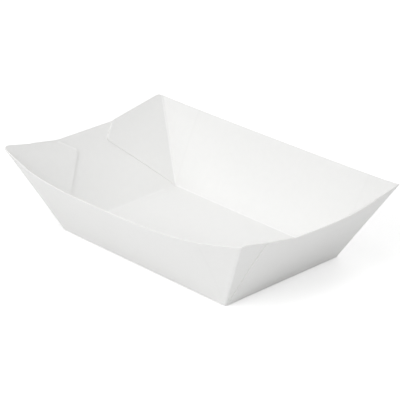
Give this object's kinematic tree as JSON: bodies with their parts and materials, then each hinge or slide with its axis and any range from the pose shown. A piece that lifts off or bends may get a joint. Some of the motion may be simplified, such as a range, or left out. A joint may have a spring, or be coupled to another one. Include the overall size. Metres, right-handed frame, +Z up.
{
  "type": "paper food tray",
  "caption": "White paperboard food tray with flared walls: one creased sheet, glued at the corners by flaps inside the end panels, with a dipping, outward-bowed rim.",
  "frame": {"origin": "centre of the tray's footprint, on the underside of the flat base", "axes": "+X along the tray towards one end panel, +Y across it towards one side wall, +Z up"},
  "size_m": [0.216, 0.154, 0.0546],
  "materials": {
    "board": "matte"
  },
  "bodies": {
    "root": {"food_tray": "board"}
  },
  "joints": []
}
